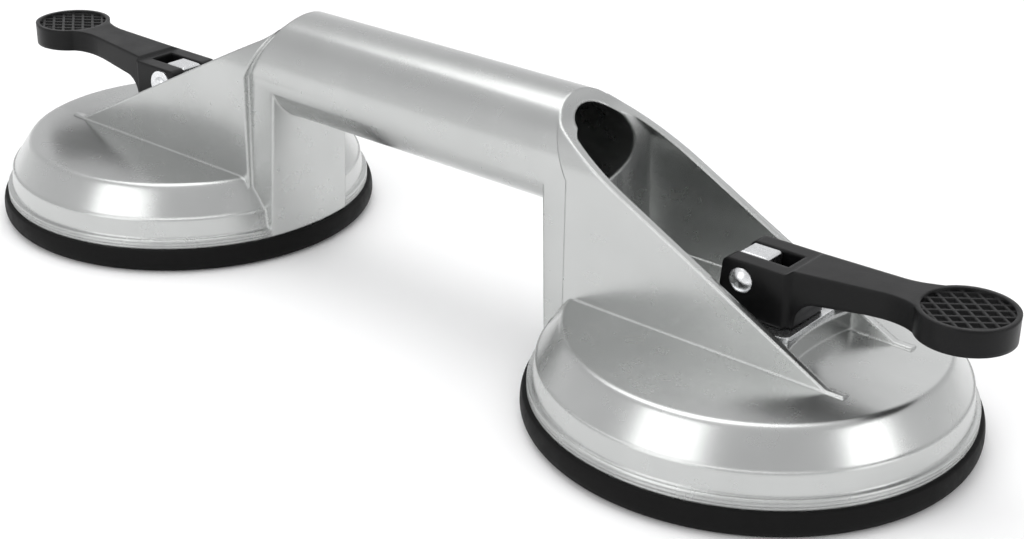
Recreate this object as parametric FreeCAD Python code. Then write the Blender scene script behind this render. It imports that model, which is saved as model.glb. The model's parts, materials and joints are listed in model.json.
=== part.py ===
import FreeCAD, Part
import math
import os

# Double suction-cup lifter for floor tiles, in millimetres.
# Origin: on the floor, midway between the two cups.
# +X runs along the handle, +Z is up, and the XZ plane is the symmetry plane of the casting.
# One cup is modelled about its own axis, with +X pointing outward, away from the handle.

Vector = FreeCAD.Vector

# Layout
cup_spacing = 220.0

# Rubber suction pad
pad_radius = 60.0
pad_rim_height = 7.2
pad_foot_tuck = 1.7
pad_top_tuck = 0.6
pad_bulge_height = 3.6
pad_seal_width = 8.5
pad_lip_height = 2.2
pad_lip_width = 2.2
pad_lip_clearance = 0.4
pad_web_thickness = 4.6
pad_hub_radius = 17.5

# Stroke of the draw stud, from released to locked
stud_stroke = 3.5

# Cup housing, part of the casting
rim_radius = 57.5
rim_wall = 3.2
rim_height = 2.9
rim_groove_depth = 0.45
rim_groove_width = 0.45
rim_groove_pitch = 1.1
skirt_radius = 55.6
skirt_height = 6.1
skirt_draft = 1.6
step_ledge = 0.5
shoulder_height = 8.9
shoulder_draft = 3.1
shoulder_bulge = 0.55
shoulder_edge_radius = 1.2
housing_wall = 2.8

# Handle tube, cast in one piece with the housings
tube_radius = 15.75
tube_wall = 3.15
tube_axis_height = 59.5

# Cowl that joins the tube to each housing
cowl_half_width = 17.8
cowl_wall = 2.3
cowl_cut_slope = 0.5
cowl_tip_reach = 36.3
cowl_tip_height = 0.5
cowl_brow_start = 48.0
cowl_brow_reach = 55.5
cowl_crease_reach = 49.0
cowl_crease_lean = 0.56
cowl_back_wall = 2.5
tower_radius = 59.9
tower_half_width = 16.8
tower_corner = 1.2
tower_foot_height = 5.5

# Raised floor inside the cowl, with the steel plate that the cam presses on
floor_height = 5.6
floor_reach = 17.0
plate_thickness = 1.5
plate_half_width = 12.6
plate_inner_reach = 13.0
plate_edge_inset = 0.6
plate_corner_radius = 2.5
plate_hole_clearance = 0.5

# Guide boss and ribs under the housing
boss_radius = 11.0
boss_drop = 0.8
pocket_wall = 2.6
rib_count = 6
rib_thickness = 2.4
rib_skirt_depth = 8.6
rib_washer_gap = 1.0

# Draw stud with its eye block
shank_radius = 3.6
block_width = 7.4
block_inner_reach = 4.3
block_outer_reach = 4.0
block_height = 10.4
block_above_pin = 5.1
block_edge = 0.6
stud_bottom_gap = 1.0

# Guide bush, spring and pad insert
bush_wall = 2.4
running_clearance = 0.05
press_clearance = 0.02
washer_thickness = 1.0
washer_radius = 11.0
spring_wire_radius = 0.9
spring_coil_radius = 9.3
spring_turns = 3
spring_seat_gap = 0.05
insert_flange_radius = 16.0
insert_flange_thickness = 2.4
insert_boss_radius = 6.2
insert_boss_height = 4.6
nut_across_flats = 12.0
nut_thickness = 4.0

# Cross pin
pin_radius = 2.5
pin_head_radius = 3.4
pin_head_height = 1.7
pin_tail = 0.9
pin_tail_chamfer = 0.5
collar_radius = 4.6
collar_thickness = 1.0

# Cam lever
pin_above_plate = 9.6
cam_clearance = 0.2
lever_swing = 95.0
fork_half_width = 8.8
fork_slot_clearance = 0.35
fork_slot_end = 10.5
fork_top = 5.2
fork_length = 12.5
fork_back_rise = 3.2
sole_reach = 14.6
sole_front_rise = 3.0
shoulder_step = 1.0
arm_root_half_width = 7.2
arm_waist_half_width = 5.4
arm_waist_reach = 37.0
arm_root_top = 6.0
arch_reach = 21.0
arch_drop = 1.3
arm_underside_reach = 34.0
arm_underside_rise = 0.3
paddle_reach = 56.5
paddle_radius = 12.3
paddle_top = 7.6
paddle_thickness = 6.8
paddle_rim = 1.3
paddle_dish_depth = 1.3
grip_ridge_width = 0.8
grip_ridge_height = 0.7
grip_ridge_pitch = 3.2

# Heights that follow from the sizes above
rim_z = pad_rim_height
skirt_z = rim_z + rim_height
ledge_z = skirt_z + skirt_height
deck_z = ledge_z + shoulder_height
roof_z = deck_z - housing_wall
floor_z = deck_z + floor_height
plate_z = floor_z + plate_thickness
pin_z = plate_z + pin_above_plate
boss_z = roof_z - boss_drop
hub_bottom_z = stud_stroke
hub_top_z = hub_bottom_z + pad_web_thickness
flange_top_z = hub_top_z + insert_flange_thickness
insert_top_z = flange_top_z + insert_boss_height
washer_z = boss_z - washer_thickness

# Radii and reaches that follow from the sizes above
ledge_radius = skirt_radius - skirt_draft
shoulder_radius = ledge_radius - step_ledge
deck_radius = shoulder_radius - shoulder_draft
bore_radius = tube_radius - tube_wall
bush_radius = shank_radius + running_clearance + bush_wall
cowl_inner_half_width = cowl_half_width - cowl_wall
cowl_top_z = tube_axis_height + cowl_half_width
cowl_back_reach = cowl_crease_reach - cowl_back_wall
cup_x = cup_spacing / 2.0


def point(x, z):
    """Point of the XZ plane."""
    return Vector(x, 0, z)


def arc(start, middle, end):
    """Arc edge through three points of the XZ plane."""
    return Part.Arc(point(*start), point(*middle), point(*end)).toShape()


def line(start, end):
    """Straight edge between two points of the XZ plane."""
    return Part.makeLine(point(*start), point(*end))


def chain(*points):
    """Straight edges that join points of the XZ plane in order."""
    return [line(a, b) for a, b in zip(points, points[1:])]


def face_of(edges):
    """Flat face bounded by edges that join end to end."""
    return Part.Face(Part.Wire(Part.__sortEdges__(edges)))


def revolved(edges):
    """Solid of revolution about the cup axis."""
    return face_of(edges).revolve(Vector(0, 0, 0), Vector(0, 0, 1), 360)


def side_prism(edges, half_width):
    """Side profile in the XZ plane, extruded evenly to both sides of it."""
    face = face_of(edges)
    face.translate(Vector(0, -half_width, 0))
    return face.extrude(Vector(0, 2 * half_width, 0))


def disc(radius, bottom_z, top_z, x=0.0):
    """Upright cylinder on the XZ plane."""
    return Part.makeCylinder(radius, top_z - bottom_z, Vector(x, 0, bottom_z))


def block(x_min, x_max, half_width, bottom_z, top_z):
    """Box that is centred on the XZ plane."""
    corner = Vector(x_min, -half_width, bottom_z)
    return Part.makeBox(x_max - x_min, 2 * half_width, top_z - bottom_z, corner)


def cut_height(reach):
    """Height of the slanted cut of the cowl above a reach from the cup axis."""
    return deck_z + cowl_tip_height + cowl_cut_slope * (cowl_tip_reach - reach)


def crease_reach(height, offset):
    """Reach of the leaning crease at a height, moved outward by an offset."""
    lean = max(height - tube_axis_height, 0.0) * cowl_crease_lean
    return -(cowl_crease_reach + lean) + offset


# ---------------------------------------------------------------- casting

def housing_shell():
    """Domed cup housing: rim with two fine grooves, drafted skirt and rounded shoulder."""
    body = revolved(
        chain((0, deck_z), (0, rim_z), (rim_radius, rim_z), (rim_radius, skirt_z), (skirt_radius, skirt_z),
              (ledge_radius, ledge_z), (shoulder_radius, ledge_z))
        + shoulder_edges()
    )
    for index in (1, 2):
        groove_z = skirt_z - index * rim_groove_pitch
        ring = disc(rim_radius + 1, groove_z, groove_z + rim_groove_width)
        body = body.cut(ring.cut(disc(rim_radius - rim_groove_depth, rim_z, skirt_z)))
    return body


def shoulder_edges():
    """Slightly convex shoulder, rounded into the flat deck."""
    start = (shoulder_radius, ledge_z)
    end = (deck_radius, deck_z - shoulder_edge_radius)
    middle = ((start[0] + end[0]) / 2 + shoulder_bulge, (start[1] + end[1]) / 2)
    turn = shoulder_edge_radius * (1 - math.sqrt(0.5))
    corner = (deck_radius - turn, deck_z - turn)
    top = (deck_radius - shoulder_edge_radius, deck_z)
    return [arc(start, middle, end), arc(end, corner, top), line(top, (0, deck_z))]


def housing_hollow():
    """Bell-shaped space inside the housing."""
    return revolved(chain(
        (0, rim_z - 1), (rim_radius - rim_wall, rim_z - 1), (rim_radius - rim_wall, skirt_z),
        (skirt_radius - housing_wall, skirt_z + 0.5), (shoulder_radius - housing_wall, ledge_z),
        (deck_radius - housing_wall, roof_z), (0, roof_z), (0, rim_z - 1)))


def tower():
    """Upright wall under the tube's end, a slice of a cylinder about the cup axis."""
    back = tower_radius
    side = tower_half_width
    flat = side - tower_corner
    corner_x = -math.sqrt(back ** 2 - flat ** 2)
    start_x = -cowl_crease_reach
    outline = [Vector(start_x, side, 0), Vector(corner_x, flat, 0)]
    edges = [
        Part.makeLine(*outline),
        Part.Arc(outline[1], Vector(-back, 0, 0), Vector(corner_x, -flat, 0)).toShape(),
        Part.makeLine(Vector(corner_x, -flat, 0), Vector(start_x, -side, 0)),
        Part.makeLine(Vector(start_x, -side, 0), Vector(start_x + cowl_wall, -side, 0)),
        Part.makeLine(Vector(start_x + cowl_wall, -side, 0), Vector(start_x + cowl_wall, side, 0)),
        Part.makeLine(Vector(start_x + cowl_wall, side, 0), outline[0]),
    ]
    prism = face_of(edges).extrude(Vector(0, 0, tube_axis_height - rim_z))
    prism.translate(Vector(0, 0, rim_z))
    under = side_prism(chain(
        (-ledge_radius, rim_z), (-ledge_radius, skirt_z), (-skirt_radius, skirt_z),
        (-back - 1, skirt_z + tower_foot_height), (-back - 1, rim_z), (-ledge_radius, rim_z)), side + 1)
    return prism.cut(under)


def arch_bar(half_width, bottom_z, x_min, x_max):
    """Bar along X with upright sides and a half-round top."""
    top = tube_axis_height + half_width
    edges = [
        Part.makeLine(Vector(x_min, half_width, tube_axis_height), Vector(x_min, half_width, bottom_z)),
        Part.makeLine(Vector(x_min, half_width, bottom_z), Vector(x_min, -half_width, bottom_z)),
        Part.makeLine(Vector(x_min, -half_width, bottom_z), Vector(x_min, -half_width, tube_axis_height)),
        Part.Arc(Vector(x_min, -half_width, tube_axis_height), Vector(x_min, 0, top),
                 Vector(x_min, half_width, tube_axis_height)).toShape(),
    ]
    return face_of(edges).extrude(Vector(x_max - x_min, 0, 0))


def cowl():
    """Solid wedge of the cowl, before it is hollowed."""
    bar = arch_bar(cowl_half_width, roof_z, -cup_x, cowl_tip_reach)
    high = cowl_top_z + 10
    keep = side_prism(chain(
        (crease_reach(rim_z, 0), rim_z), (crease_reach(tube_axis_height, 0), tube_axis_height),
        (crease_reach(high, 0), high), (cowl_tip_reach + 5, high), (cowl_tip_reach + 5, rim_z),
        (crease_reach(rim_z, 0), rim_z)), cowl_half_width + 1)
    return bar.common(keep)


def slanted_cut():
    """Everything above the slanted rim, which bends up into a brow over the tube's end."""
    tip = (cowl_tip_reach, cut_height(cowl_tip_reach))
    bend = (-cowl_brow_start, cut_height(-cowl_brow_start))
    brow = (-cowl_brow_reach, cowl_top_z + 0.5)
    rise = math.atan(cowl_cut_slope)
    turn = math.atan2(brow[1] - bend[1], bend[0] - brow[0]) - rise
    reach = math.dist(bend, brow) / (2 * math.cos(turn / 2))
    middle = (bend[0] - reach * math.cos(rise + turn / 2), bend[1] + reach * math.sin(rise + turn / 2))
    high = cowl_top_z + 20
    edges = chain(brow, (brow[0], high), (tip[0] + 10, high), (tip[0] + 10, tip[1]), tip, bend)
    return side_prism(edges + [arc(bend, middle, brow)], cowl_half_width + 5)


def cowl_hollow():
    """Open scoop between the cowl's walls, down to the raised floor and, beyond it, to the deck."""
    bar = arch_bar(cowl_inner_half_width, deck_z, -cup_x, cowl_tip_reach + 5)
    high = cowl_top_z + 10
    keep = side_prism(chain(
        (crease_reach(floor_z, cowl_back_wall), floor_z),
        (crease_reach(tube_axis_height, cowl_back_wall), tube_axis_height),
        (crease_reach(high, cowl_back_wall), high), (cowl_tip_reach + 5, high),
        (cowl_tip_reach + 5, deck_z), (floor_reach, deck_z), (floor_reach, floor_z),
        (crease_reach(floor_z, cowl_back_wall), floor_z)), cowl_half_width)
    return bar.common(keep)


def underside_pocket():
    """Core-out under the raised floor, around the guide boss."""
    half_width = cowl_inner_half_width - pocket_wall
    pocket = block(-(cowl_back_reach - pocket_wall), floor_reach - housing_wall, half_width,
                   roof_z - 1, floor_z - housing_wall)
    return pocket.cut(disc(boss_radius, roof_z - 2, floor_z))


def rib():
    """One radial rib from the guide boss to the skirt."""
    inner = boss_radius - 1
    outer = deck_radius - housing_wall + 0.5
    start = washer_radius + rib_washer_gap
    return side_prism(chain(
        (inner, roof_z + 0.2), (inner, boss_z), (start, boss_z), (outer, roof_z - rib_skirt_depth),
        (outer, roof_z + 0.2), (inner, roof_z + 0.2)), rib_thickness / 2)


def cup_casting():
    """One end of the casting: housing, cowl, tower and tube stub, about the cup axis."""
    stub = Part.makeCylinder(tube_radius, cup_x - cowl_tip_reach, Vector(-cup_x, 0, tube_axis_height),
                             Vector(1, 0, 0))
    body = housing_shell().fuse([tower(), cowl(), stub])
    body = body.cut([slanted_cut(), cowl_hollow(), housing_hollow(), underside_pocket()])
    ribs = []
    for index in range(rib_count):
        shape = rib()
        shape.rotate(Vector(0, 0, 0), Vector(0, 0, 1), 30 + index * 360 / rib_count)
        ribs.append(shape)
    body = body.fuse(ribs + [disc(boss_radius, boss_z, floor_z - housing_wall + 0.5)])
    stud_bore = disc(bush_radius + press_clearance, boss_z - 1, floor_z + 1)
    tube_bore = Part.makeCylinder(bore_radius, cup_x - cowl_back_reach + 15,
                                  Vector(-cup_x, 0, tube_axis_height), Vector(1, 0, 0))
    return body.cut([stud_bore, tube_bore])


def frame_casting():
    """Both ends joined at the middle of the tube, in one piece."""
    right = placed(cup_casting(), "right")
    left = placed(cup_casting(), "left")
    return right.fuse(left).removeSplitter()


# ---------------------------------------------------------------- pad and its insert

def suction_pad():
    """Rubber disc drawn up at its hub, with a thick floor ring and a locating lip."""
    lip_outer = rim_radius - rim_wall - pad_lip_clearance
    lip_inner = lip_outer - pad_lip_width
    seal_inner = pad_radius - pad_foot_tuck - pad_seal_width
    foot = (pad_radius - pad_foot_tuck, 0)
    bulge = (pad_radius, pad_bulge_height)
    top = (pad_radius - pad_top_tuck, rim_z)
    low_turn = (pad_radius - pad_foot_tuck * 0.29, pad_bulge_height * 0.32)
    high_turn = (pad_radius - pad_top_tuck * 0.27, (pad_bulge_height + rim_z) / 2)
    edges = chain((0, hub_top_z), (0, hub_bottom_z), (pad_hub_radius, hub_bottom_z), (seal_inner, 0), foot,
                  low_turn, bulge, high_turn, top, (lip_outer, rim_z), (lip_outer, rim_z + pad_lip_height),
                  (lip_inner, rim_z + pad_lip_height), (lip_inner, pad_web_thickness),
                  (pad_hub_radius, hub_top_z), (0, hub_top_z))
    return revolved(edges)


def pad_insert():
    """Flanged steel boss bonded to the pad's hub, bored for the stud."""
    boss = disc(insert_flange_radius, hub_top_z, flange_top_z).fuse(
        disc(insert_boss_radius, hub_top_z, insert_top_z))
    hole = disc(shank_radius + press_clearance, hub_top_z + stud_bottom_gap, insert_top_z + 1)
    return boss.cut(hole)


def draw_stud():
    """Round shank with a flat eye block for the cross pin at its top."""
    top = pin_z + block_above_pin
    eye = Part.makeBox(block_inner_reach + block_outer_reach, block_width, block_height,
                       Vector(-block_inner_reach, -block_width / 2, top - block_height))
    eye = eye.makeChamfer(block_edge, upper_edges(eye, top))
    shank = disc(shank_radius, hub_top_z + stud_bottom_gap, top - block_height + 1)
    hole = Part.makeCylinder(pin_radius + running_clearance, block_width + 2,
                             Vector(0, -block_width / 2 - 1, pin_z), Vector(0, 1, 0))
    return eye.fuse(shank).cut(hole).removeSplitter()


def upper_edges(shape, top):
    """Edges of a shape that lie wholly at its top height."""
    return [edge for edge in shape.Edges if edge.BoundBox.ZMin > top - 0.001]


def stud_nut():
    """Hexagon lock nut on the stud, against the insert."""
    corner = nut_across_flats / math.sqrt(3)
    corners = []
    for index in range(7):
        angle = math.radians(60 * index)
        corners.append(Vector(corner * math.cos(angle), corner * math.sin(angle), insert_top_z))
    nut = Part.Face(Part.makePolygon(corners)).extrude(Vector(0, 0, nut_thickness))
    return nut.cut(disc(shank_radius + press_clearance, insert_top_z - 1, insert_top_z + nut_thickness + 1))


def return_spring():
    """Compression spring of half turns that tilt to and fro, so that each runs on into the next."""
    bottom = flange_top_z + spring_seat_gap + spring_wire_radius
    height = washer_z - spring_seat_gap - spring_wire_radius - bottom
    rise = height / (2 * spring_turns)
    halves = []
    for index in range(2 * spring_turns):
        side = 1 if index % 2 == 0 else -1
        start = Vector(side * spring_coil_radius, 0, bottom + index * rise)
        section = Part.Face(Part.Wire(Part.makeCircle(spring_wire_radius, start, Vector(0, 1, 0))))
        centre = Vector(0, 0, start.z + rise / 2)
        axis = Vector(side * rise, 0, 2 * spring_coil_radius)
        halves.append(section.revolve(centre, axis, 180))
    return halves[0].fuse(halves[1:])


def spring_washer():
    """Flat steel seat between the spring and the guide boss."""
    washer = disc(washer_radius, washer_z, boss_z)
    return washer.cut(disc(shank_radius + plate_hole_clearance, washer_z - 1, boss_z + 1))


def stud_bush():
    """Plain bush that guides the stud through the housing."""
    bush = disc(bush_radius, boss_z, floor_z)
    return bush.cut(disc(shank_radius + running_clearance, boss_z - 1, floor_z + 1))


def cam_plate():
    """Steel wear plate on the raised floor, with rounded corners and a hole for the stud."""
    plate = Part.makeBox(plate_inner_reach + floor_reach - plate_edge_inset, 2 * plate_half_width,
                         plate_thickness, Vector(-plate_inner_reach, -plate_half_width, floor_z))
    uprights = [edge for edge in plate.Edges if edge.BoundBox.ZLength > plate_thickness / 2]
    plate = plate.makeFillet(plate_corner_radius, uprights)
    return plate.cut(disc(shank_radius + plate_hole_clearance, floor_z - 1, plate_z + 1))


# ---------------------------------------------------------------- cross pin

def pivot_pin():
    """Rivet pin across the fork, with a domed head on the -Y side."""
    tail_y = fork_half_width + collar_thickness + pin_tail
    shank = Part.makeCylinder(pin_radius, fork_half_width + tail_y, Vector(0, -fork_half_width, pin_z),
                              Vector(0, 1, 0))
    tail_edges = [edge for edge in shank.Edges if edge.BoundBox.YMin > tail_y - 0.01]
    shank = shank.makeChamfer(pin_tail_chamfer, tail_edges)
    sphere_radius = (pin_head_radius ** 2 + pin_head_height ** 2) / (2 * pin_head_height)
    dome_centre = Vector(0, -fork_half_width - pin_head_height + sphere_radius, pin_z)
    head = Part.makeSphere(sphere_radius, dome_centre).common(
        Part.makeCylinder(pin_head_radius + 1, pin_head_height + 1, Vector(0, -fork_half_width, pin_z),
                          Vector(0, -1, 0)))
    return shank.fuse(head)


def pin_collar():
    """Washer under the peened end of the pin, on the +Y side."""
    start = Vector(0, fork_half_width, pin_z)
    ring = Part.makeCylinder(collar_radius, collar_thickness, start, Vector(0, 1, 0))
    return ring.cut(Part.makeCylinder(pin_radius + press_clearance, collar_thickness * 3,
                                      start - Vector(0, collar_thickness, 0), Vector(0, 1, 0)))


# ---------------------------------------------------------------- cam lever

def cam_edges():
    """Heel of the cam about the pin: its support distance falls evenly as the lever swings up."""
    swing = math.radians(lever_swing)
    fall = -stud_stroke / swing
    contact = pin_above_plate - cam_clearance
    points = []
    for index in range(13):
        turn = swing * index / 12
        support = contact + fall * turn
        points.append(Vector(-support * math.sin(turn) - fall * math.cos(turn), 0,
                             -support * math.cos(turn) + fall * math.sin(turn)))
    curve = Part.BSplineCurve()
    curve.interpolate(points)
    return curve.toShape(), points[0], points[-1]


def lever_side():
    """Side profile of the lever about the pin, as a prism wide enough for the paddle."""
    heel, sole_start, back_start = cam_edges()
    swing = math.radians(lever_swing)
    back_rise = fork_back_rise - back_start.z
    back_end = (back_start.x - back_rise / math.tan(swing), fork_back_rise)
    back_corner = (back_end[0] + (fork_top - fork_back_rise), fork_top)
    back_turn = (back_end[0] + 0.29 * (fork_top - fork_back_rise),
                 fork_top - 0.29 * (fork_top - fork_back_rise))
    sole_z = -(pin_above_plate - cam_clearance)
    front_low = (sole_reach, sole_z)
    front_high = (sole_reach + 0.4, sole_z + sole_front_rise)
    arch_end = (arch_reach, -arch_drop)
    arch_turn = (front_high[0] + 0.32 * (arch_reach - front_high[0]),
                 front_high[1] + 0.68 * (arch_end[1] - front_high[1]))
    paddle_bottom = paddle_top - paddle_thickness
    paddle_start = paddle_reach - paddle_radius
    paddle_end = paddle_reach + paddle_radius + 1
    edges = [heel, line((sole_start.x, sole_start.z), front_low), line(front_low, front_high),
             arc(front_high, arch_turn, arch_end)]
    edges += chain(arch_end, (arm_underside_reach, arm_underside_rise), (paddle_start, paddle_bottom),
                   (paddle_end, paddle_bottom), (paddle_end, paddle_top), (paddle_start, paddle_top),
                   (fork_length + shoulder_step, arm_root_top), (fork_length, fork_top), back_corner)
    edges += [arc(back_corner, back_turn, back_end), line(back_end, (back_start.x, back_start.z))]
    return side_prism(edges, paddle_radius + 1)


def lever_plan():
    """Outline of the lever from above: fork, waisted arm and round paddle."""
    tangent = math.radians(38)
    join = (paddle_reach - paddle_radius * math.cos(tangent), paddle_radius * math.sin(tangent))
    root = (fork_length + shoulder_step, arm_root_half_width)
    waist = (arm_waist_reach, arm_waist_half_width)
    flare = ((waist[0] + join[0]) / 2 + 0.9, (waist[1] + join[1]) / 2 - 0.5)
    tail_x = -(pin_above_plate + 2)
    edges = [Part.makeLine(Vector(tail_x, -fork_half_width, 0), Vector(tail_x, fork_half_width, 0)),
             Part.Arc(Vector(join[0], join[1], 0), Vector(paddle_reach + paddle_radius, 0, 0),
                      Vector(join[0], -join[1], 0)).toShape()]
    for side in (-1, 1):
        corners = [Vector(tail_x, side * fork_half_width, 0), Vector(fork_length, side * fork_half_width, 0),
                   Vector(root[0], side * root[1], 0), Vector(waist[0], side * waist[1], 0)]
        edges += [Part.makeLine(a, b) for a, b in zip(corners, corners[1:])]
        edges.append(Part.Arc(corners[-1], Vector(flare[0], side * flare[1], 0),
                              Vector(join[0], side * join[1], 0)).toShape())
    depth = 2 * (pin_above_plate + paddle_top)
    prism = face_of(edges).extrude(Vector(0, 0, depth))
    prism.translate(Vector(0, 0, -depth / 2))
    return prism


def grip_ridges():
    """Crossed ridges that stand on the floor of the paddle's dish."""
    dish_radius = paddle_radius - paddle_rim
    dish_z = paddle_top - paddle_dish_depth
    count = int(dish_radius / grip_ridge_pitch)
    bars = []
    for angle in (38, -38):
        for index in range(-count, count + 1):
            bar = Part.makeBox(4 * dish_radius, grip_ridge_width, grip_ridge_height + 0.2,
                               Vector(-2 * dish_radius, index * grip_ridge_pitch - grip_ridge_width / 2, 0))
            bar.rotate(Vector(0, 0, 0), Vector(0, 0, 1), angle)
            bars.append(bar)
    grid = bars[0].fuse(bars[1:])
    grid.translate(Vector(paddle_reach, 0, dish_z - 0.2))
    return grid.common(disc(dish_radius + 0.3, dish_z - 1, paddle_top, paddle_reach))


def cam_lever():
    """Moulded lever: slotted cam fork, arm and dished paddle with a raised rim."""
    body = lever_side().common(lever_plan())
    dish_radius = paddle_radius - paddle_rim
    body = body.cut(disc(dish_radius, paddle_top - paddle_dish_depth, paddle_top + 1, paddle_reach))
    body = body.fuse(grip_ridges())
    slot_half_width = block_width / 2 + fork_slot_clearance
    slot_depth = pin_above_plate + fork_top
    body = body.cut(block(-2 * pin_above_plate, fork_slot_end, slot_half_width, -slot_depth, slot_depth))
    body = body.cut(Part.makeCylinder(pin_radius + press_clearance, 4 * fork_half_width,
                                      Vector(0, -2 * fork_half_width, 0), Vector(0, 1, 0)))
    body.translate(Vector(0, 0, pin_z))
    return body


# ---------------------------------------------------------------- assembly

def placed(shape, side):
    """Shape moved from the cup axis to its own end of the handle."""
    moved = shape.copy()
    moved.translate(Vector(cup_x, 0, 0))
    if side == "left":
        moved.rotate(Vector(0, 0, 0), Vector(0, 0, 1), 180)
    return moved


cup_parts = {
    "suction_pad": suction_pad,
    "pad_insert": pad_insert,
    "draw_stud": draw_stud,
    "stud_nut": stud_nut,
    "return_spring": return_spring,
    "spring_washer": spring_washer,
    "stud_bush": stud_bush,
    "cam_plate": cam_plate,
    "pivot_pin": pivot_pin,
    "pin_collar": pin_collar,
    "cam_lever": cam_lever,
}

os.makedirs("parts", exist_ok=True)
frame_casting().exportStep("parts/frame_casting.step")
for name, make in cup_parts.items():
    for side in ("right", "left"):
        placed(make(), side).exportStep(f"parts/{side}_{name}.step")
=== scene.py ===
"""Looks of a double suction-cup floor tile lifter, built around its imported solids.

Everything is in metres, in the frame of the solids: the floor is z = 0, the origin lies midway between
the two cups, and +X runs along the handle tube to the right cup.
"""

import json
import logging
import math
from dataclasses import dataclass
from enum import Enum

import bmesh
import bpy
from mathutils import Matrix, Vector

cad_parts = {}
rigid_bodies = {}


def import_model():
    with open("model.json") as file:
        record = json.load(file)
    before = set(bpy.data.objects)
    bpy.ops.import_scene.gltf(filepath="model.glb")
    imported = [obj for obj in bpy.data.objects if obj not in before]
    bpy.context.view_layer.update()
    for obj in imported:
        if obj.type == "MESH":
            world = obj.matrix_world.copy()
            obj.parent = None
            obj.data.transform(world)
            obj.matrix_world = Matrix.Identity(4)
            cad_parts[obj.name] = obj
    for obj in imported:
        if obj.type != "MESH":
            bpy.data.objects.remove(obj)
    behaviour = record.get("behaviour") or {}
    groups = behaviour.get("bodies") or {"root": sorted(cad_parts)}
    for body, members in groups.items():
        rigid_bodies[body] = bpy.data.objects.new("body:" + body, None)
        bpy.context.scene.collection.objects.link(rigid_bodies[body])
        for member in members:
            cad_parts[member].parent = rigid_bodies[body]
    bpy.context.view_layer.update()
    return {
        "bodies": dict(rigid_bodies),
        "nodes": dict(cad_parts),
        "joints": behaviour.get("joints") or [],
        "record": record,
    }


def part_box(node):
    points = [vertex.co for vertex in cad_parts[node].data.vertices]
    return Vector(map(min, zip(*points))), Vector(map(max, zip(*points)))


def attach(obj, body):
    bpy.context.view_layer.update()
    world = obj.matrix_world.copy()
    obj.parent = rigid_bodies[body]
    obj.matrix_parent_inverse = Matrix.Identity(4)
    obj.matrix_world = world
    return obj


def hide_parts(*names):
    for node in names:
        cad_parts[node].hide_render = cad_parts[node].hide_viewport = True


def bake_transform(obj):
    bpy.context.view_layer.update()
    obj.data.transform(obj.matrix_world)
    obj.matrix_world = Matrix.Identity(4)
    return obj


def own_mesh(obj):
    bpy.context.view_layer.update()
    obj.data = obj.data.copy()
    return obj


LOG = logging.getLogger("tile_lifter")

Colour = tuple[float, float, float]
Profile = list[tuple[float, float]]

NOISE_LOW = 0.3    # nearly all of a noise's values lie between these two
NOISE_HIGH = 0.7
ARC_STEPS = 64     # steps along a half round of the casting
TINY = 1e-9        # a smaller radius counts as a point of the axis


class Side(Enum):
    """The two ends of the handle; the value is the end's direction along X."""

    RIGHT = 1
    LEFT = -1

    @property
    def word(self) -> str:
        """Name of the end as the nodes and bodies spell it."""
        return self.name.lower()


class Surface(Enum):
    """Metal and polymer surfaces that the lifter shows."""

    CAST = "cast_aluminium"
    RUBBER = "black_rubber"
    LEVER = "lever_plastic"
    ZINC = "zinc_steel"
    SPRING = "spring_steel"
    BRONZE = "sintered_bronze"


# ---------------------------------------------------------------- shader building


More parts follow.
